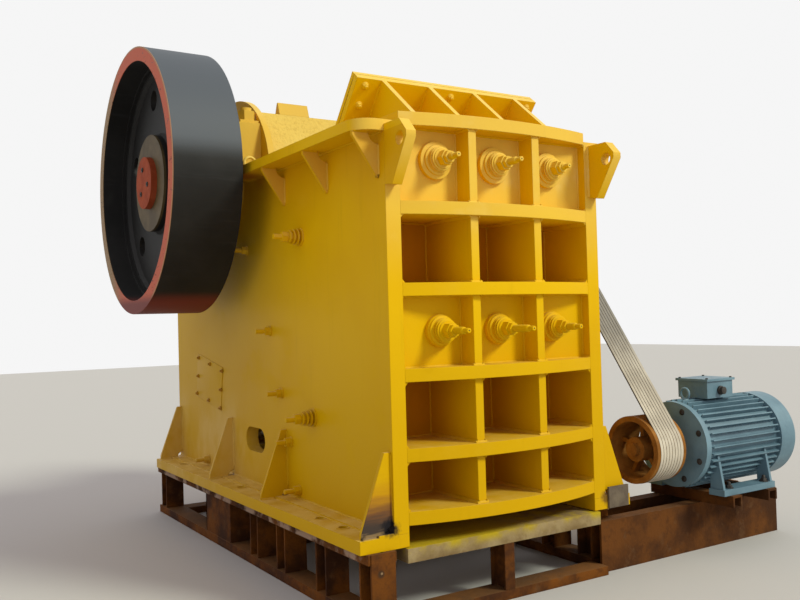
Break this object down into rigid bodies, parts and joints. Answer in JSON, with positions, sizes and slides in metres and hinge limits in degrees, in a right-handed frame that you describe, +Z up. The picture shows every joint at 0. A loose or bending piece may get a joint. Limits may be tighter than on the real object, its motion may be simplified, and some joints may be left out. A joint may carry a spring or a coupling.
{
  "type": "jaw crusher",
  "caption": "Single-toggle jaw crusher of welded plate on a steel stand, with a flywheel, a grooved wheel, belts and a motor on slide rails.",
  "frame": {"origin": "on the floor, on the underside of the stand's front beam, in the crusher's middle plane and under the front edges of the side plates", "axes": "+X along the shaft towards the belt side, +Y from the ribbed front wall towards the rear, +Z up"},
  "size_m": [3.8745, 4.075, 3.507],
  "materials": {
    "yellow_paint": "satin, chalky and dirty",
    "pitman_paint": "rough casting under thin paint",
    "wheel_black": "satin",
    "disc_red": "satin",
    "stand_rust": "rusty primer",
    "sill_paint": "weathered",
    "jaw_steel": "as cast",
    "shaft_steel": "turned, oiled",
    "belt_rubber": "dusty",
    "pulley_iron": "rusty",
    "motor_paint": "satin"
  },
  "bodies": {
    "frame": {"stand_left": "stand_rust", "stand_right": "stand_rust", "stand_front": "stand_rust", "stand_rear": "stand_rust", "front_sill": "sill_paint", "side_plate_left": "yellow_paint", "side_plate_right": "yellow_paint", "foot_left": "yellow_paint", "foot_right": "yellow_paint", "top_flange_left": "yellow_paint", "top_flange_right": "yellow_paint", "lifting_lugs": "yellow_paint", "front_wall": "yellow_paint", "boss_walls": "yellow_paint", "front_ribs": "yellow_paint", "front_stiffeners": "yellow_paint", "feed_guard": "yellow_paint", "fixed_jaw_plate": "jaw_steel", "jaw_bolts": "yellow_paint", "cheek_plates_left": "jaw_steel", "cheek_plates_right": "jaw_steel", "cheek_bolts_left": "yellow_paint", "cheek_bolts_right": "yellow_paint", "toggle_beam": "yellow_paint", "rear_wall": "yellow_paint", "toggle_plate": "jaw_steel", "bearing_housing_left": "yellow_paint", "bearing_housing_right": "yellow_paint", "bearing_cap_left": "yellow_paint", "bearing_cap_right": "yellow_paint", "drive_belts": "belt_rubber", "motor": "motor_paint", "motor_cowl": "motor_paint", "terminal_box": "motor_paint", "motor_rails": "stand_rust", "motor_base": "stand_rust"},
    "rotor": {"eccentric_shaft": "shaft_steel", "flywheel": "wheel_black", "drive_sheave": "wheel_black", "end_disc_left": "disc_red", "end_disc_right": "disc_red"},
    "pitman": {"pitman": "pitman_paint", "swing_jaw_plate": "jaw_steel", "head_block": "yellow_paint", "tension_rod": "shaft_steel", "tension_spring": "disc_red"},
    "motor_rotor": {"motor_pulley": "pulley_iron"}
  },
  "joints": [
    {"name": "shaft_spin", "type": "hinge", "parent": "frame", "child": "rotor", "pos_m": [0, 2.3, 2.58], "axis": [1, 0, 0], "continuous": true},
    {"name": "pitman_swing", "type": "hinge", "parent": "rotor", "child": "pitman", "pos_m": [0, 2.3, 2.555], "axis": [1, 0, 0], "continuous": true},
    {"name": "motor_spin", "type": "hinge", "parent": "frame", "child": "motor_rotor", "pos_m": [1.2495, 0.125, 0.693], "axis": [1, 0, 0], "continuous": true}
  ],
  "couplings": [
    {"joint": "pitman_swing", "follows": "shaft_spin", "ratio": -1},
    {"joint": "motor_spin", "follows": "shaft_spin", "ratio": 4.3023}
  ]
}
